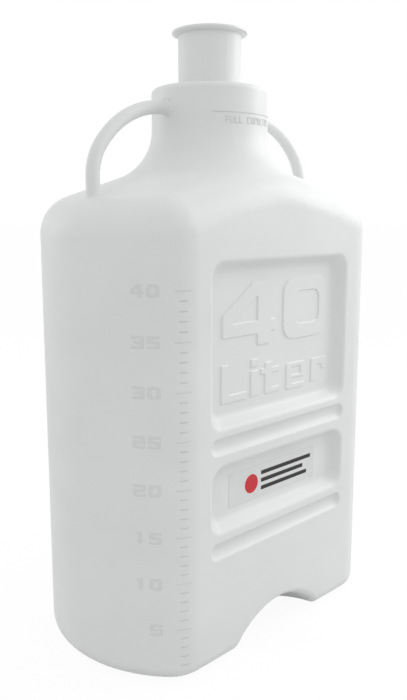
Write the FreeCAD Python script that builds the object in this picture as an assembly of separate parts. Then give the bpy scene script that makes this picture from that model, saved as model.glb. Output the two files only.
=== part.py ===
import FreeCAD, Part
import math
import os

from FreeCAD import Vector

# Forty litre laboratory carboy. Millimetres, +Z up, standing on Z = 0 with the
# centre line of the neck on the Z axis and the front face towards -Y.
# bottle: one blow-moulded piece with its neck, clamp flange and two handles
# label: a thin film stuck in the lower recess of the front face

# body seen from above: flat front and back, round ends, rounded corners
body_width = 433.0
body_depth = 250.3
end_radius = 160.5
corner_radius = 49.5

# shell, and its height: the whole, the spout at its top, and the shoulder with the neck
wall = 4.0
base_radius = 16.6
overall_height = 725.6
spout_height = 66.6
shoulder_height = 142.6

# shoulder and neck
shoulder_slope = 19.4
shoulder_edge_radius = 45.0
neck_diameter = 142.0
neck_blend_radius = 62.0
neck_top_radius = 7.0

# the hidden inside is plain, with straight bevels where the skin is rounded
shoulder_inside_bevel = 20.0
base_inside_bevel = 8.0
neck_inside_bends = 3

# spout tube and clamp flange
spout_diameter = 76.2
spout_wall = 4.2
spout_root_chamfer = 2.0
flange_diameter = 91.0
flange_rim = 2.9
flange_slope = 20.0
gasket_groove_diameter = 83.4
gasket_groove_width = 3.2
gasket_groove_depth = 1.2
lip_chamfer = 0.6

# the two recesses of each flat face
recess_width = 240.0
recess_depth = 14.0
recess_draft = 55.0
label_top_draft = 76.0
recess_corner_radius = 20.0
recess_edge_radius = 6.0
recess_floor_radius = 9.0
label_recess_height = 77.0

# the two grooves of each flat face, and the lands between grooves and recesses
groove_radius = 11.0
groove_depth = 6.0
groove_length = 241.0
groove_edge_radius = 2.5
lower_groove_height = 138.0
land_under_label = 10.2
land_over_label = 14.2
land_under_upper = 8.7
land_over_upper = 55.4

# finger scoops at the foot of each flat face
scoop_radius = 96.0
scoop_height = 41.0
scoop_edge_radius = 8.0

# handles
handle_diameter = 15.5
handle_reach = 178.0
handle_leg = 33.6
knee_radius = 60.0
knee_turn = 36.0
bow_radius = 112.0
handle_foot_radius = 4.0

# label film
label_width = 158.0
label_height = 42.0
label_thickness = 0.3
label_corner = 3.0

half_width = body_width / 2
half_depth = body_depth / 2
neck_radius = neck_diameter / 2
spout_radius = spout_diameter / 2
bore_radius = spout_radius - spout_wall
neck_height = overall_height - spout_height
shoulder_end_height = neck_height - shoulder_height
handle_leg_height = shoulder_end_height + handle_leg
slope = math.radians(shoulder_slope)
draft = math.radians(recess_draft)
top_draft = math.radians(label_top_draft)
turn = math.radians(knee_turn)
origin = Vector(0, 0, 0)
up = Vector(0, 0, 1)


def arc(start, middle, end):
    return Part.Arc(start, middle, end).toShape()


def path(*points):
    return [Part.makeLine(a, b) for a, b in zip(points, points[1:])]


def polar(centre, radius, angle):
    """A point of the XZ plane at an angle round a centre."""
    return centre + Vector(radius * math.cos(angle), 0, radius * math.sin(angle))


def bend(centre, radius, first, last):
    """An arc of the XZ plane from one angle to another."""
    middle = (first + last) / 2
    return arc(polar(centre, radius, first), polar(centre, radius, middle), polar(centre, radius, last))


def turned(edges):
    return Part.Face(Part.Wire(edges)).revolve(origin, up, 360)


def inside(shape, low, high):
    """The edges of a shape that lie whole between two corners of a box."""
    box = FreeCAD.BoundBox(*low, *high)
    return [e for e in shape.Edges if not e.Degenerated and box.isInside(e.BoundBox)]


def ring_edges(shape, radius, height):
    """The edges of a shape round the centre line at one radius and height."""
    reach = radius + 0.1
    near = inside(shape, (-reach, -reach, height - 0.1), (reach, reach, height + 0.1))
    return [e for e in near if e.BoundBox.DiagonalLength > radius and
            abs(e.Vertexes[0].Point.sub(Vector(0, 0, height)).Length - radius) < 0.1]


# the body outline, drawn in by an inset
def plan(inset):
    end_centre = half_width - end_radius
    corner_y = half_depth - corner_radius
    corner_x = end_centre + math.sqrt((end_radius - corner_radius) ** 2 - corner_y ** 2)
    meeting = math.atan2(corner_y, corner_x - end_centre)
    round_end = end_radius - inset
    round_corner = corner_radius - inset

    def spot(sx, sy, x, y, radius, angle):
        return Vector(sx * (x + radius * math.cos(angle)), sy * (y + radius * math.sin(angle)), 0)

    edges = []
    for s in (1, -1):
        for t in (1, -1):
            angles = (meeting, (meeting + math.pi / 2) / 2, math.pi / 2)
            edges.append(arc(*[spot(s, t, corner_x, corner_y, round_corner, a) for a in angles]))
        edges.append(arc(*[spot(s, 1, end_centre, 0, round_end, a) for a in (-meeting, 0, meeting)]))
        flat = s * (half_depth - inset)
        edges.append(Part.makeLine(Vector(-corner_x, flat, 0), Vector(corner_x, flat, 0)))
    return Part.Wire(Part.__sortEdges__(edges))


# the shoulder cone runs out past the body and meets the neck in a round blend
blend_centre = Vector(neck_radius + neck_blend_radius, 0, shoulder_end_height)
blend_centre.z += (half_width - blend_centre.x) * math.tan(slope) + neck_blend_radius / math.cos(slope)
blend_foot = 1.5 * math.pi - slope
cone_run = Vector(math.cos(slope), 0, -math.sin(slope)) * body_depth * 0.6


# shoulder and neck of the skin
def shoulder():
    end = polar(blend_centre, neck_blend_radius, blend_foot)
    far = end + cone_run
    head = Vector(neck_radius, 0, neck_height)
    edges = path(head, Vector(0, 0, neck_height), origin, Vector(far.x, 0, 0), far, end)
    edges.append(bend(blend_centre, neck_blend_radius, blend_foot, math.pi))
    edges += path(polar(blend_centre, neck_blend_radius, math.pi), head)
    return turned(Part.__sortEdges__(edges))


# heights that follow from the grooves, recesses, lands and shoulder
groove_half = math.sqrt(groove_radius ** 2 - (groove_radius - groove_depth) ** 2)
label_recess_foot = lower_groove_height + groove_half + land_under_label
label_recess_top = label_recess_foot + label_recess_height
upper_groove_height = label_recess_top + land_over_label + groove_half
upper_recess_foot = upper_groove_height + groove_half + land_under_upper
upper_recess_top = shoulder_end_height - land_over_upper


# how far a drafted wall stands out from its edge on the face, past the face and at the floor
def slant(angle, inset):
    lean = 1 / math.tan(angle)
    grow = inset * math.tan(angle / 2)
    return grow + (inset + wall) * lean, grow - recess_depth * lean


# a recess as the block it takes out: drafted walls, and on the skin rounded corners and floor edge
def recess(foot, top, top_angle, inset):
    mouth, floor = slant(draft, inset)
    top_mouth, top_floor = slant(top_angle, inset)
    near = -half_depth - wall
    far = recess_depth + inset - half_depth
    half = recess_width / 2
    block = Part.makeWedge(-half - mouth, near, foot - mouth, foot - floor, -half - floor,
                           half + mouth, far, top + top_mouth, top + top_floor, half + floor)
    if inset:
        return block
    corners = [e for e in block.Edges if e.BoundBox.YLength > wall]
    block = block.makeFillet(recess_corner_radius, corners)
    rim = inside(block, (-recess_width, far - 0.1, foot - wall), (recess_width, far + 0.1, top + wall))
    return block.makeFillet(recess_floor_radius, rim)


# a round-bottomed groove with ball ends
def groove(height, inset):
    radius = groove_radius + inset
    centre = Vector(0, groove_depth - groove_radius - half_depth, height)
    reach = Vector(groove_length / 2 - groove_half, 0, 0)
    out = Vector(radius, 0, 0)
    side = Vector(0, 0, radius)
    edges = [bend(centre - reach, radius, math.pi, math.pi / 2), bend(centre + reach, radius, math.pi / 2, 0)]
    edges += path(centre - reach + side, centre + reach + side)
    edges += path(centre + reach + out, centre - reach - out)
    return Part.Face(Part.Wire(Part.__sortEdges__(edges))).revolve(centre, Vector(1, 0, 0), 360)


# a finger scoop
def scoop(inset):
    ball = Part.makeSphere(scoop_radius + inset)
    ball.rotate(origin, up, -90)
    ball.translate(Vector(0, -half_depth, scoop_height - scoop_radius))
    return ball


# both faces' recesses, grooves and scoops, as the blocks they take out
def hollows(inset):
    front = [recess(label_recess_foot, label_recess_top, top_draft, inset),
             recess(upper_recess_foot, upper_recess_top, draft, inset),
             groove(lower_groove_height, inset), groove(upper_groove_height, inset), scoop(inset)]
    back = [shape.copy() for shape in front]
    for shape in back:
        shape.rotate(origin, up, 180)
    return front + back


# the edges of the body where its upright wall meets the shoulder, and at its foot
def top_rim(body):
    low = shoulder_end_height - wall * 2
    high = shoulder_end_height + (half_width - half_depth) * math.tan(slope) + wall * 2
    return inside(body, (-body_width, -body_depth, low), (body_width, body_depth, high))


def foot_rim(body, height):
    return inside(body, (-body_width, -body_depth, height - 0.1), (body_width, body_depth, height + 0.1))


# the skin, with every edge of its neck, recesses, grooves and scoops rounded over
def skin():
    body = Part.Face(plan(0)).extrude(up * neck_height).common(shoulder())
    body = body.makeFillet(shoulder_edge_radius, top_rim(body))
    body = body.makeFillet(base_radius, foot_rim(body, 0))
    body = body.cut(hollows(0))
    body = body.makeFillet(neck_top_radius, ring_edges(body, neck_radius, neck_height))
    reach = recess_width / 2 + wall * 2
    for face in (-half_depth, half_depth):
        low = Vector(-reach, face - 0.1, 0)
        high = Vector(reach, face + 0.1, 0)
        rims = []
        for foot, top in ((label_recess_foot, label_recess_top), (upper_recess_foot, upper_recess_top)):
            rims += inside(body, low + up * (foot - 0.1), high + up * (top + 0.1))
        body = body.makeFillet(recess_edge_radius, rims)
        rims = []
        for height in (lower_groove_height, upper_groove_height):
            foot = height - groove_half - 0.1
            top = height + groove_half + 0.1
            rims += inside(body, low + up * foot, high + up * top)
        body = body.makeFillet(groove_edge_radius, rims)
        balls = [f for f in body.Faces
                 if isinstance(f.Surface, Part.Sphere) and f.CenterOfMass.z < scoop_height]
        rims = [e for f in balls for e in f.Edges if f.CenterOfMass.y * face > 0 and not e.Degenerated]
        body = body.makeFillet(scoop_edge_radius, rims)
    return body


# the room inside, one wall in from the skin: a bevelled body and a neck that flares in straight runs
def room():
    inner = neck_blend_radius + wall
    far = polar(blend_centre, inner, blend_foot) + cone_run
    tip = Vector(0, 0, far.z + far.x * math.tan(slope))
    cone = turned(path(tip, Vector(0, 0, wall), Vector(far.x, 0, wall), far, tip))
    body = Part.Face(plan(wall)).extrude(up * neck_height).common(cone)
    body = body.makeChamfer(shoulder_inside_bevel, top_rim(body))
    body = body.makeChamfer(base_inside_bevel, foot_rim(body, wall))

    half = (blend_foot - math.pi) / neck_inside_bends / 2
    reach = inner / math.cos(half)
    bends = [polar(blend_centre, reach, blend_foot - half * (2 * n + 1)) for n in range(neck_inside_bends)]
    head = Vector(neck_radius - wall, 0, neck_height - wall)
    root = Vector(bends[0].x, 0, shoulder_end_height)
    neck = turned(path(head, Vector(0, 0, head.z), Vector(0, 0, root.z), root, *bends, head))
    bore = Part.makeCylinder(bore_radius, overall_height - root.z, Vector(0, 0, root.z))
    return body.fuse([neck, bore]).cut(hollows(wall))


# spout with its clamp flange: square top face with a gasket groove, sloping back
def spout():
    flange = flange_diameter / 2
    rim = overall_height - flange_rim
    back = rim - (flange - spout_radius) * math.tan(math.radians(flange_slope))
    root = spout_radius + spout_root_chamfer
    ring = gasket_groove_diameter / 2
    half = gasket_groove_width / 2
    edges = path(Vector(ring - half, 0, overall_height), Vector(0, 0, overall_height),
                 Vector(0, 0, neck_height - wall / 2), Vector(root, 0, neck_height - wall / 2),
                 Vector(root, 0, neck_height))
    edges += path(Vector(root, 0, neck_height), Vector(spout_radius, 0, neck_height + spout_root_chamfer),
                  Vector(spout_radius, 0, back),
                  Vector(flange, 0, rim), Vector(flange, 0, overall_height),
                  Vector(ring + half, 0, overall_height))
    bed = overall_height - gasket_groove_depth
    edges += path(Vector(ring + half, 0, overall_height), Vector(ring + half / 2, 0, bed),
                  Vector(ring - half / 2, 0, bed), Vector(ring - half, 0, overall_height))
    body = turned(edges)
    lips = ring_edges(body, flange, overall_height) + ring_edges(body, flange, rim)
    return body.makeChamfer(lip_chamfer, lips)


# one handle: a round bar up from the shoulder, over the knee and the bow, into the neck
knee = Vector(handle_reach - knee_radius, 0, handle_leg_height)
bow = polar(knee, knee_radius - bow_radius, turn)
handle_top = bow.z + bow_radius


def handle():
    foot = Vector(handle_reach, 0, shoulder_end_height)
    line = path(foot, Vector(handle_reach, 0, handle_leg_height))
    line += [bend(knee, knee_radius, 0, turn), bend(bow, bow_radius, turn, math.pi / 2)]
    line += path(Vector(bow.x, 0, handle_top), Vector(neck_radius - handle_diameter, 0, handle_top))
    section = Part.Wire(Part.makeCircle(handle_diameter / 2, foot, up))
    return Part.Wire(line).makePipeShell([section], True, False)


def bottle():
    right = handle()
    left = right.copy()
    left.rotate(origin, up, 180)
    body = skin().fuse([spout(), right, left]).cut(room())

    half = handle_diameter / 2 + 0.1
    for side in (1, -1):
        foot = sorted((side * (handle_reach - half), side * (handle_reach + half)))
        low = shoulder_end_height + wall * 2
        rims = inside(body, (foot[0], -half, low), (foot[1], half, handle_leg_height - 1))
        root = sorted((side * (neck_radius - half), side * (neck_radius + half)))
        rims += inside(body, (root[0], -half, handle_top - half), (root[1], half, handle_top + half))
        body = body.makeFillet(handle_foot_radius, rims)

    return body.makeChamfer(lip_chamfer, ring_edges(body, bore_radius, overall_height))


def label():
    back = recess_depth - half_depth
    middle = (label_recess_foot + label_recess_top) / 2
    film = Part.makeBox(label_width, label_thickness, label_height,
                        Vector(-label_width / 2, back - label_thickness, middle - label_height / 2))
    corners = [e for e in film.Edges if e.BoundBox.YLength > label_thickness / 2
               and e.BoundBox.XLength < label_corner and e.BoundBox.ZLength < label_corner]
    return film.makeFillet(label_corner, corners)


parts = {"bottle": bottle(), "label": label()}
os.makedirs("parts", exist_ok=True)
for name, shape in parts.items():
    shape.exportStep("parts/" + name + ".step")
    print(name, shape.isValid(), shape.ShapeType, len(shape.Solids), shape.Volume, len(shape.Faces))
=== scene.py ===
import math

import bpy
import mathutils
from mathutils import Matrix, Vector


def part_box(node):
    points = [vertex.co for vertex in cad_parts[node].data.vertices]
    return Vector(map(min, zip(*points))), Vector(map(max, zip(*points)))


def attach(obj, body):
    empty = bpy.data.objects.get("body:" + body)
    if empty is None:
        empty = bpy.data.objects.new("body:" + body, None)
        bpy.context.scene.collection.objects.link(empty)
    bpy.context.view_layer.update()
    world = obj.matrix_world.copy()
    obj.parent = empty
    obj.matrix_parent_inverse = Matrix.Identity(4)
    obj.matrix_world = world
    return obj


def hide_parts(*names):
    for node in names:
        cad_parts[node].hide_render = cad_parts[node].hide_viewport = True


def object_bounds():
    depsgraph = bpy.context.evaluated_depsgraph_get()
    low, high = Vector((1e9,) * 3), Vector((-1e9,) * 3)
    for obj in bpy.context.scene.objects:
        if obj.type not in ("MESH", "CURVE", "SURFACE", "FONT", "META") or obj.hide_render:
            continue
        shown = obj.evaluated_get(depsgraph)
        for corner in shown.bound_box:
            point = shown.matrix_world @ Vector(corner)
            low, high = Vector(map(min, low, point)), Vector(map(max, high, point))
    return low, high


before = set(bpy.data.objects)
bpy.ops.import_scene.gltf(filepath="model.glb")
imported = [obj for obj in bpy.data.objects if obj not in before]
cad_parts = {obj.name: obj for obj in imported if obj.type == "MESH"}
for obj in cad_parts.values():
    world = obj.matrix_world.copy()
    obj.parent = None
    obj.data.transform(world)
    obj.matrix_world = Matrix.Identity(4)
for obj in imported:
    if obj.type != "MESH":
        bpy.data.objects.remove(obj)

cad_box = [list(corner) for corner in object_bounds()]


# Camera: the photograph's place, left of the front face and a little above the
# middle, looking slightly down. Its lens and small shift come from the outline.
camera_tilt = 9.626
camera_turn = 44.384
camera_data = bpy.data.cameras.new("camera")
camera_data.sensor_width = 36.0
camera_data.lens = 38.213
camera_data.shift_x = 0.00183
camera_data.shift_y = -0.01548
camera = bpy.data.objects.new("camera", camera_data)
bpy.context.collection.objects.link(camera)
camera.location = (-0.66656, -0.66811, 0.51119)
camera.rotation_euler = (math.radians(90 - camera_tilt), 0, math.radians(-camera_turn))
bpy.context.scene.camera = camera
bpy.context.scene.view_settings.view_transform = "Standard"


# Bottle: natural high-density polyethylene, blow-moulded in one piece. The packed
# solid has the form; this is its surface with the facets joined and smoothed.
def linear(colour):
    """An sRGB hex colour as linear red, green, blue and full alpha."""
    values = []
    for place in (0, 2, 4):
        value = int(colour[place:place + 2], 16) / 255
        values.append(value / 12.92 if value <= 0.04045 else ((value + 0.055) / 1.055) ** 2.4)
    return (*values, 1.0)


def node(material, kind, settings, links):
    """Add a shader node, set its properties and sockets, and link its inputs."""
    made = material.node_tree.nodes.new(kind)
    for name, value in settings.items():
        if isinstance(name, int) or name in made.inputs:
            made.inputs[name].default_value = value
        else:
            setattr(made, name, value)
    for name, source in links.items():
        material.node_tree.links.new(source, made.inputs[name])
    return made


def blank_material(name):
    material = bpy.data.materials.new(name)
    material.use_nodes = True
    material.node_tree.nodes.clear()
    return material


noise_low, noise_high = 0.3, 0.7    # nearly all of a noise pattern lies between these
cloud_size = 0.09       # the milky tint drifts over about a hand's width of wall
wave_size = 0.035       # shallow ripples, where the wall shrank away from the mould
wave_depth = 0.0006
grain_size = 0.0018     # print of the blasted mould, drawn coarser than the real grit to show
grain_depth = 0.0002


def blown_plastic(name, dark, light):
    """Polyethylene as blown: milky and satin, with the faint unevenness of a wall that
    cooled against a sand-blasted mould."""
    made = blank_material(name)
    place = node(made, "ShaderNodeTexCoord", {}, {})
    cloud = node(made, "ShaderNodeTexNoise", {"Scale": 1 / cloud_size, "Detail": 3.0, "Roughness": 0.5},
                 {"Vector": place.outputs["Object"]})
    tint = node(made, "ShaderNodeValToRGB", {}, {"Fac": cloud.outputs["Fac"]})
    for stop, level, colour in zip(tint.color_ramp.elements, (noise_low, noise_high), (dark, light)):
        stop.position = level
        stop.color = linear(colour)
    grain = node(made, "ShaderNodeTexNoise", {"Scale": 1 / grain_size, "Detail": 2.0, "Roughness": 0.6},
                 {"Vector": place.outputs["Object"]})
    wave = node(made, "ShaderNodeTexNoise", {"Scale": 1 / wave_size, "Detail": 1.0, "Roughness": 0.4},
                {"Vector": place.outputs["Object"]})
    grain_bump = node(made, "ShaderNodeBump", {"Strength": 0.12, "Distance": grain_depth},
                      {"Height": grain.outputs["Fac"]})
    wave_bump = node(made, "ShaderNodeBump", {"Strength": 0.2, "Distance": wave_depth},
                     {"Height": wave.outputs["Fac"], "Normal": grain_bump.outputs["Normal"]})
    sheen = node(made, "ShaderNodeMapRange",
                 {"From Min": noise_low, "From Max": noise_high, "To Min": 0.42, "To Max": 0.5},
                 {"Value": wave.outputs["Fac"]})
    shader = node(made, "ShaderNodeBsdfPrincipled", {"IOR": 1.54, "Specular IOR Level": 0.4},
                  {"Base Color": tint.outputs["Color"], "Roughness": sheen.outputs["Result"],
                   "Normal": wave_bump.outputs["Normal"]})
    node(made, "ShaderNodeOutputMaterial", {}, {"Surface": shader.outputs["BSDF"]})
    return made


def smooth(piece, angle):
    """Smooth the active piece, apart from its edges sharper than an angle in degrees, so
    that wide faces stay flat beside narrow roundings."""
    bpy.ops.object.shade_smooth_by_angle(angle=math.radians(angle))
    bpy.ops.object.modifier_add(type="WEIGHTED_NORMAL")
    piece.modifiers[-1].keep_sharp = True
    bpy.ops.object.modifier_apply(modifier=piece.modifiers[-1].name)


wall_weld = 0.00001
wall_crease = 35
polyethylene = blown_plastic("natural_polyethylene", "DDDEDE", "E1E2E2")
bpy.ops.object.select_all(action="DESELECT")
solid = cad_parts["bottle"]
solid.select_set(True)
bpy.context.view_layer.objects.active = solid
bpy.ops.object.duplicate()
skin = bpy.context.active_object
skin.name = "bottle_skin"
skin.data.materials.clear()
skin.data.materials.append(polyethylene)
bpy.ops.object.mode_set(mode="EDIT")
bpy.ops.mesh.select_all(action="SELECT")
bpy.ops.mesh.remove_doubles(threshold=wall_weld)
bpy.ops.object.mode_set(mode="OBJECT")
smooth(skin, wall_crease)
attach(skin, "root")
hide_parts("bottle")


# Capacity mark: bold square-cut figures and a word, raised from the floor of the upper
# recess. They are cut in the mould, so they are the bottle's own plastic with sloping
# edges, and the word stands closer to the floor than the figures.
longest_reach = 0.49    # of a side, so that two roundings never meet on it
mark_weld = 0.000005
mark_crease = 30


def soft_outline(points, radius):
    """A closed outline with each corner rounded, by its own third number where it has one."""
    spots = [mathutils.Vector(point[:2]) for point in points]
    line = []
    for i, corner in enumerate(spots):
        back = spots[i - 1] - corner
        ahead = spots[(i + 1) % len(spots)] - corner
        own = points[i][2] if len(points[i]) > 2 else radius
        reach = min(own, back.length * longest_reach, ahead.length * longest_reach)
        start = corner + back.normalized() * reach
        end = corner + ahead.normalized() * reach
        for t in (0, 0.25, 0.5, 0.75, 1):
            line.append(start * (1 - t) ** 2 + corner * 2 * t * (1 - t) + end * t ** 2)
    return line


def moulded(name, outlines, relief):
    """Closed outlines as one flat piece with sloping edges: it stands the relief above
    Z = 0, where it is widest, and goes as far below."""
    flat = bpy.data.curves.new(name, "CURVE")
    flat.dimensions = "2D"
    flat.fill_mode = "BOTH"
    flat.bevel_depth = relief
    flat.bevel_resolution = 0
    flat.offset = -relief
    for points, radius in outlines:
        line = soft_outline(points, radius)
        spline = flat.splines.new("POLY")
        spline.points.add(len(line) - 1)
        for point, spot in zip(spline.points, line):
            point.co = (spot.x, spot.y, 0, 1)
        spline.use_cyclic_u = True
    bpy.ops.object.select_all(action="DESELECT")
    piece = bpy.data.objects.new(name, flat)
    bpy.context.collection.objects.link(piece)
    bpy.context.view_layer.objects.active = piece
    piece.select_set(True)
    bpy.ops.object.convert(target="MESH")
    piece = bpy.context.active_object
    piece.name = name
    bpy.ops.object.mode_set(mode="EDIT")
    bpy.ops.mesh.select_all(action="SELECT")
    bpy.ops.mesh.remove_doubles(threshold=mark_weld)
    bpy.ops.mesh.normals_make_consistent(inside=False)
    bpy.ops.object.mode_set(mode="OBJECT")
    return piece


def seat(piece, place, material):
    """Carry a flat piece onto the bottle by a rule for each point, and finish it."""
    for vertex in piece.data.vertices:
        vertex.co = place(*vertex.co)
    bpy.ops.object.mode_set(mode="EDIT")
    bpy.ops.mesh.select_all(action="SELECT")
    bpy.ops.mesh.normals_make_consistent(inside=False)
    bpy.ops.object.mode_set(mode="OBJECT")
    smooth(piece, mark_crease)
    piece.data.materials.clear()
    piece.data.materials.append(material)
    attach(piece, "root")


def block(left, foot, right, top):
    """The corners of an upright rectangle."""
    return [(left, foot), (right, foot), (right, top), (left, top)]


recess_floor = -0.11115
figure_relief = 0.0016
figure_foot = 0.361
figure_top = 0.4365
figures = [
    ([(-0.043, 0.435), (-0.0115, 0.435), (-0.011, 0.391), (-0.002, 0.391), (-0.002, 0.3755),
      (-0.011, 0.3755), (-0.011, figure_foot), (-0.035, figure_foot), (-0.035, 0.3745),
      (-0.0928, 0.3745), (-0.0928, 0.401)], 0.0025),
    ([(-0.035, 0.418), (-0.035, 0.391), (-0.0765, 0.391)], 0.0012),
    (block(0.0106, figure_foot, 0.0971, figure_top), 0.022),
    (block(0.0349, 0.380, 0.0794, 0.4185), 0.011),
]
word_relief = 0.0014
word_corner = 0.0015
word = [
    ([(-0.094, 0.301), (-0.051, 0.301), (-0.051, 0.311), (-0.080, 0.311), (-0.080, 0.346),
      (-0.094, 0.346)], word_corner),
    (block(-0.045, 0.3015, -0.0315, 0.333), word_corner),
    (block(-0.045, 0.3365, -0.0315, 0.3465), word_corner),
    ([(-0.0204, 0.3065), (-0.0204, 0.3255), (-0.0274, 0.3255), (-0.0274, 0.333),
      (-0.0204, 0.333), (-0.0204, 0.340), (-0.0075, 0.340), (-0.0075, 0.333), (0.0072, 0.333),
      (0.0072, 0.3255), (-0.0075, 0.3255), (-0.0075, 0.309), (0.0075, 0.309), (0.0075, 0.301),
      (-0.0204, 0.301, 0.0055)], word_corner),
    ([(0.0558, 0.3125), (0.0558, 0.333), (0.0185, 0.333), (0.0185, 0.2995), (0.0558, 0.2995),
      (0.0558, 0.3065, word_corner), (0.0300, 0.3065), (0.0300, 0.3125, word_corner)], 0.0050),
    (block(0.0295, 0.3175, 0.0460, 0.3265), 0.002),
    ([(0.067, 0.302, word_corner), (0.0785, 0.302, word_corner), (0.0785, 0.323),
      (0.0890, 0.323), (0.0890, 0.316, word_corner), (0.1006, 0.316, word_corner),
      (0.1006, 0.333), (0.067, 0.333)], 0.0035),
]
for name, outlines, relief in (("capacity_figures", figures, figure_relief),
                               ("capacity_word", word, word_relief)):
    piece = moulded(name, outlines, relief)
    seat(piece, lambda x, y, h: (x, recess_floor - h, y), polyethylene)


# Litre scale: a raised mark for each litre and figures at every fifth, up the rounded
# corner to the left of the front face. All of it is cut in the mould. The marks are
# coloured a darker grey than the wall: painted shade, for the shade in and round them.
# painted shade: ticks (CBCCCC) and figures (D4D5D5) are darker than the wall (DDDEDE)
tick_plastic_painted_shade = blown_plastic("polyethylene_ticks_painted_shade", "CBCCCC", "CFD0D0")
figure_plastic_painted_shade = blown_plastic("polyethylene_figures_painted_shade", "D4D5D5", "D8D9D9")
corner_radius = 0.0495
end_radius = 0.1605
half_width, half_depth = -cad_box[0][0], -cad_box[0][1]
end_x = end_radius - half_width
corner_y = corner_radius - half_depth
corner_x = end_x - math.sqrt((end_radius - corner_radius) ** 2 - corner_y ** 2)
corner_turn = math.atan2(end_x - corner_x, -corner_y)
corner_start = -corner_x
corner_end = corner_start + corner_radius * corner_turn


def on_wall(run, height, out):
    """A point of the wall: its run left from the middle of the front, and its height."""
    if run < corner_start:
        return (-run, -half_depth - out, height)
    if run < corner_end:
        turn = (run - corner_start) / corner_radius
        centre, radius = (corner_x, corner_y), corner_radius + out
    else:
        turn = corner_turn + (run - corner_end) / end_radius
        centre, radius = (end_x, 0), end_radius + out
    return (centre[0] - radius * math.sin(turn), centre[1] - radius * math.cos(turn), height)


def cut_strips(first, width, count):
    """Cut the active flat piece upright at even steps, so that it can follow a round wall."""
    bpy.ops.object.mode_set(mode="EDIT")
    for n in range(count):
        bpy.ops.mesh.select_all(action="SELECT")
        bpy.ops.mesh.bisect(plane_co=(first + n * width, 0, 0), plane_no=(1, 0, 0))
    bpy.ops.object.mode_set(mode="OBJECT")


# each figure in a box one wide and one high, with the hole in it where it has one
scale_figures = {
    "0": [([(0, 0), (1, 0), (1, 1), (0, 1)], 0.26),
          ([(0.3, 0.24), (0.7, 0.24), (0.7, 0.76), (0.3, 0.76)], 0.1)],
    "1": [([(0.34, 0), (0.66, 0), (0.66, 1), (0.3, 1), (0.06, 0.8), (0.34, 0.8)], 0.03)],
    "2": [([(0, 1), (1, 1), (1, 0.4), (0.3, 0.4), (0.3, 0.22), (1, 0.22), (1, 0), (0, 0),
            (0, 0.6), (0.7, 0.6), (0.7, 0.78), (0, 0.78)], 0.12)],
    "3": [([(0, 1), (1, 1), (1, 0), (0, 0), (0, 0.22), (0.7, 0.22), (0.7, 0.4), (0.24, 0.4),
            (0.24, 0.6), (0.7, 0.6), (0.7, 0.78), (0, 0.78)], 0.12)],
    "4": [([(0.46, 1), (0.86, 1), (0.86, 0.42), (1, 0.42), (1, 0.22), (0.86, 0.22), (0.86, 0),
            (0.57, 0), (0.57, 0.22), (0, 0.22), (0, 0.5)], 0.03),
          ([(0.57, 0.76), (0.57, 0.42), (0.22, 0.42)], 0.02)],
    "5": [([(1, 1), (0, 1), (0, 0.4), (0.7, 0.4), (0.7, 0.22), (0, 0.22), (0, 0), (1, 0),
            (1, 0.6), (0.3, 0.6), (0.3, 0.78), (1, 0.78)], 0.12)],
}
full_litres = 40
long_every = 5
litre_zero = 0.0102
litre_step = 0.0106
tick_middle = 0.1579
short_tick = 0.0089
long_tick = 0.018
tick_width = 0.0016
tick_corner = 0.0004
figure_edge = 0.1825
scale_width = 0.0138
scale_height = 0.0135
scale_pitch = 0.0168
scale_relief = 0.00045
wall_strip = 0.002
ticks = []
numbers = []
for litre in range(1, full_litres + 1):
    height = litre_zero + litre_step * litre
    half = (short_tick if litre % long_every else long_tick) / 2
    tick = block(-tick_middle - half, height - tick_width / 2, half - tick_middle, height + tick_width / 2)
    if litre % long_every:
        ticks.append((tick, tick_corner))
        continue
    numbers.append((tick, tick_corner))
    for place, digit in enumerate(reversed(str(litre))):
        left = -figure_edge - scale_width - place * scale_pitch
        for points, radius in scale_figures[digit]:
            numbers.append(([(left + x * scale_width, height + (y - 0.5) * scale_height)
                             for x, y in points], radius * scale_height))
scale_right = long_tick / 2 - tick_middle
scale_left = -figure_edge - scale_width - scale_pitch
for name, outlines, plastic in (("litre_ticks", ticks, tick_plastic_painted_shade),
                                ("litre_figures", numbers, figure_plastic_painted_shade)):
    piece = moulded(name, outlines, scale_relief)
    cut_strips(scale_right, -wall_strip, math.ceil((scale_right - scale_left) / wall_strip))
    seat(piece, lambda x, y, h: on_wall(-x, y, h), plastic)


# Fill mark: a raised line round the front of the neck and two plain words under it,
# cut in the mould as well. It is coloured in the darker figure grey: painted shade.
neck_radius = 0.071


def on_neck(x, y, h):
    """A point of the neck: its run right from the middle of the front, and its height."""
    turn = x / neck_radius
    radius = neck_radius + h
    return (radius * math.sin(turn), -radius * math.cos(turn), y)


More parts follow.
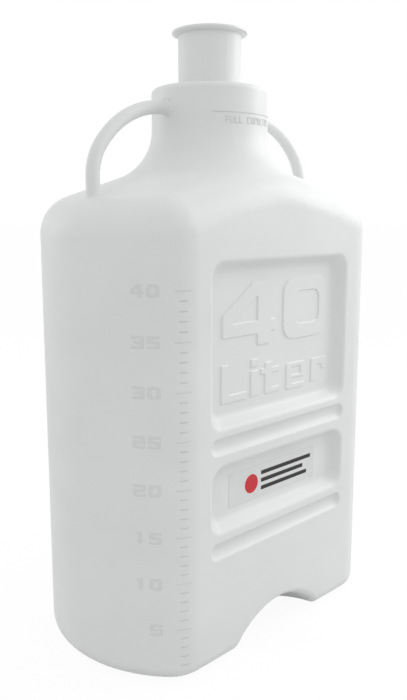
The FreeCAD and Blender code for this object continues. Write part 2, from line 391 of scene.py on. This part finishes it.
fill_letters = {
    "A": [([(0, 0), (0.28, 0), (0.28, 0.22), (0.72, 0.22), (0.72, 0), (1, 0), (1, 0.72),
            (0.74, 1), (0.26, 1), (0, 0.72)], 0.03),
          ([(0.28, 0.42), (0.72, 0.42), (0.72, 0.68), (0.62, 0.8), (0.38, 0.8),
            (0.28, 0.68)], 0.02)],
    "C": [([(0, 0), (1, 0), (1, 0.2), (0.3, 0.2), (0.3, 0.8), (1, 0.8), (1, 1), (0, 1)], 0.08)],
    "F": [([(0, 0), (0.3, 0), (0.3, 0.38), (0.9, 0.38), (0.9, 0.6), (0.3, 0.6), (0.3, 0.8),
            (1, 0.8), (1, 1), (0, 1)], 0.03)],
    "I": [([(0.35, 0), (0.65, 0), (0.65, 1), (0.35, 1)], 0.03)],
    "L": [([(0, 0), (1, 0), (1, 0.2), (0.3, 0.2), (0.3, 1), (0, 1)], 0.03)],
    "P": [([(0, 0), (0.3, 0), (0.3, 0.36), (1, 0.36), (1, 1), (0, 1)], 0.05),
          ([(0.3, 0.56), (0.7, 0.56), (0.7, 0.8), (0.3, 0.8)], 0.03)],
    "T": [([(0.35, 0), (0.65, 0), (0.65, 0.8), (1, 0.8), (1, 1), (0, 1), (0, 0.8),
            (0.35, 0.8)], 0.03)],
    "U": [([(0, 0), (1, 0), (1, 1), (0.7, 1), (0.7, 0.2), (0.3, 0.2), (0.3, 1), (0, 1)], 0.08)],
    "Y": [([(0.35, 0), (0.65, 0), (0.65, 0.42), (1, 1), (0.7, 1), (0.5, 0.62), (0.3, 1), (0, 1),
            (0.35, 0.42)], 0.03)],
}
fill_words = "FULL CAPACITY"
fill_line = 0.6255
fill_line_half = 0.053
fill_line_width = 0.0018
fill_relief = 0.0005
letter_drop = 0.0125    # from the line to the letters' foot
letter_height = 0.0080
letter_width = 0.0044
letter_pitch = 0.0057
neck_strip = 0.0025
fill_mark = [(block(-fill_line_half, fill_line - fill_line_width / 2,
                    fill_line_half, fill_line + fill_line_width / 2), tick_corner)]
for place, letter in enumerate(fill_words):
    left = (place - len(fill_words) / 2) * letter_pitch
    for points, radius in fill_letters.get(letter, ()):
        fill_mark.append(([(left + x * letter_width, fill_line - letter_drop + y * letter_height)
                           for x, y in points], radius * letter_height))
piece = moulded("fill_mark", fill_mark, fill_relief)
cut_strips(-fill_line_half, neck_strip, math.ceil(2 * fill_line_half / neck_strip))
# painted shade: the fill mark takes the darker figure grey
seat(piece, on_neck, figure_plastic_painted_shade)


# Handle pads: where each bar runs into the neck, the halves of the mould leave a small
# square pad round its top, a little proud of the neck. It is coloured in the darker
# figure grey: painted shade for the shade seen on the pad.
pad_width = 0.015
pad_foot = 0.6285
pad_top = 0.6425
pad_corner = 0.002
pad_relief = 0.0009
for name, side in (("handle_pad_left", -1), ("handle_pad_right", 1)):
    middle = side * neck_radius * math.pi / 2
    pad = block(middle - pad_width / 2, pad_foot, middle + pad_width / 2, pad_top)
    piece = moulded(name, [(pad, pad_corner)], pad_relief)
    cut_strips(middle - pad_width / 2, neck_strip, round(pad_width / neck_strip) + 1)
    # painted shade: each pad takes the darker figure grey
    seat(piece, on_neck, figure_plastic_painted_shade)


# Label: clear gloss polyester film stuck on the floor of the lower recess. The packed
# film stays; its print is plain rules beside a round spot, in black and red ink.
# The film gives a smoother shine than the wall, over slight waves in the adhesive.
ripple_size = 0.012
ripple_depth = 0.0003
film = blank_material("polyester_label_film")
place = node(film, "ShaderNodeTexCoord", {}, {})
ripple = node(film, "ShaderNodeTexNoise", {"Scale": 1 / ripple_size, "Detail": 1.0, "Roughness": 0.4},
              {"Vector": place.outputs["Object"]})
ripple_bump = node(film, "ShaderNodeBump", {"Strength": 0.05, "Distance": ripple_depth},
                   {"Height": ripple.outputs["Fac"]})
film_tint = node(film, "ShaderNodeValToRGB", {}, {"Fac": ripple.outputs["Fac"]})
film_stops = film_tint.color_ramp.elements
for stop, level, colour in zip(film_stops, (noise_low, noise_high), ("D5D6D6", "D8D9D9")):
    stop.position = level
    stop.color = linear(colour)
film_shader = node(film, "ShaderNodeBsdfPrincipled",
                   {"IOR": 1.5, "Roughness": 0.3, "Coat Weight": 0.25, "Coat Roughness": 0.12},
                   {"Base Color": film_tint.outputs["Color"], "Normal": ripple_bump.outputs["Normal"]})
node(film, "ShaderNodeOutputMaterial", {}, {"Surface": film_shader.outputs["BSDF"]})
film_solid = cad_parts["label"]
film_solid.data.materials.clear()
film_solid.data.materials.append(film)

mottle_size = 0.0015    # ink drawn together in small patches as it dried


def ink(name, dark, light):
    """Screen-printed ink: dense, a little uneven where it wetted the film, half gloss."""
    made = blank_material(name)
    place = node(made, "ShaderNodeTexCoord", {}, {})
    mottle = node(made, "ShaderNodeTexNoise", {"Scale": 1 / mottle_size, "Detail": 2.0, "Roughness": 0.6},
                  {"Vector": place.outputs["Object"]})
    shade = node(made, "ShaderNodeValToRGB", {}, {"Fac": mottle.outputs["Fac"]})
    for stop, level, colour in zip(shade.color_ramp.elements, (noise_low, noise_high), (dark, light)):
        stop.position = level
        stop.color = linear(colour)
    gloss = node(made, "ShaderNodeMapRange",
                 {"From Min": noise_low, "From Max": noise_high, "To Min": 0.35, "To Max": 0.5},
                 {"Value": mottle.outputs["Fac"]})
    shader = node(made, "ShaderNodeBsdfPrincipled", {"IOR": 1.5, "Specular IOR Level": 0.4},
                  {"Base Color": shade.outputs["Color"], "Roughness": gloss.outputs["Result"]})
    node(made, "ShaderNodeOutputMaterial", {}, {"Surface": shader.outputs["BSDF"]})
    return made


film_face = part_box("label")[0].y
ink_relief = 0.00005
spot_x, spot_z, spot_radius = -0.0405, 0.1965, 0.0115
spot_sides = 48
spot_turns = [math.tau * side / spot_sides for side in range(spot_sides)]
spot = [([(spot_x + spot_radius * math.cos(turn), spot_z + spot_radius * math.sin(turn))
          for turn in spot_turns], 0)]
rule_left = -0.0235
rule_corner = 0.0008
rules = [(block(rule_left, 0.2035, 0.0715, 0.2085), rule_corner),
         (block(rule_left, 0.1940, 0.0560, 0.1990), rule_corner),
         (block(rule_left, 0.1845, 0.0640, 0.1895), rule_corner)]
for name, outlines, material in (("label_spot", spot, ink("red_screen_ink", "C21F26", "CB2A2F")),
                                 ("label_rules", rules, ink("black_screen_ink", "141414", "1D1D1D"))):
    piece = moulded(name, outlines, ink_relief)
    seat(piece, lambda x, y, h: (x, film_face - h, y), material)


# Floor and light: matt white paper under the bottle, soft light all round, and three
# weak lamps: a key at the front right, a larger one at the right and a rim behind.
floor_span = 60
paper_glow = 1.03       # burns the paper out to white, where it is seen or mirrored
glow_share = 0.9        # the rest is lit paper, which keeps the bottle's shadow
studio_strength = 0.88
paper = blank_material("white_paper")
ray = node(paper, "ShaderNodeLightPath", {}, {})
seen = node(paper, "ShaderNodeMath", {"operation": "MAXIMUM"},
            {0: ray.outputs["Is Camera Ray"], 1: ray.outputs["Is Transmission Ray"]})
seen = node(paper, "ShaderNodeMath", {"operation": "MAXIMUM"},
            {0: seen.outputs[0], 1: ray.outputs["Is Glossy Ray"]})
share = node(paper, "ShaderNodeMath", {"operation": "MULTIPLY", 1: glow_share}, {0: seen.outputs[0]})
matt = node(paper, "ShaderNodeBsdfDiffuse", {"Color": linear("DEDEDE")}, {})
glow = node(paper, "ShaderNodeEmission", {"Color": linear("FFFFFF"), "Strength": paper_glow}, {})
both = node(paper, "ShaderNodeMixShader", {}, {0: share.outputs[0], 1: matt.outputs[0], 2: glow.outputs[0]})
node(paper, "ShaderNodeOutputMaterial", {}, {"Surface": both.outputs[0]})
bpy.ops.object.select_all(action="DESELECT")
bpy.ops.mesh.primitive_plane_add(size=floor_span)
floor = bpy.context.active_object
floor.name = "floor"
floor.data.materials.append(paper)

world = bpy.data.worlds.new("studio")
bpy.context.scene.world = world
world.use_nodes = True
world.node_tree.nodes.clear()
ray = node(world, "ShaderNodeLightPath", {}, {})
seen = node(world, "ShaderNodeMath", {"operation": "MAXIMUM"},
            {0: ray.outputs["Is Camera Ray"], 1: ray.outputs["Is Transmission Ray"]})
seen = node(world, "ShaderNodeMath", {"operation": "MAXIMUM"},
            {0: seen.outputs[0], 1: ray.outputs["Is Glossy Ray"]})
soft = node(world, "ShaderNodeBackground", {"Color": linear("FFFFFF"), "Strength": studio_strength}, {})
white = node(world, "ShaderNodeBackground", {"Color": linear("FFFFFF"), "Strength": 1.0}, {})
both = node(world, "ShaderNodeMixShader", {}, {0: seen.outputs[0], 1: soft.outputs[0], 2: white.outputs[0]})
node(world, "ShaderNodeOutputWorld", {}, {"Surface": both.outputs[0]})


def lamp(name, spot, aim, size, power):
    """A square soft lamp at a place, turned towards another."""
    data = bpy.data.lights.new(name, "AREA")
    data.size = size
    data.energy = power
    made = bpy.data.objects.new(name, data)
    bpy.context.collection.objects.link(made)
    made.location = spot
    direction = mathutils.Vector(aim) - mathutils.Vector(spot)
    made.rotation_euler = direction.to_track_quat("-Z", "Y").to_euler()


lamp("key", spot=(1.05, -0.6, 1.1), aim=(0, 0, 0.5), size=0.8, power=7.2)
lamp("side", spot=(1.5, 0.5, 1.4), aim=(0, 0, 0.55), size=1.2, power=3)
lamp("rim", spot=(-0.6, 1.5, 0.8), aim=(0, 0, 0.4), size=0.8, power=2)
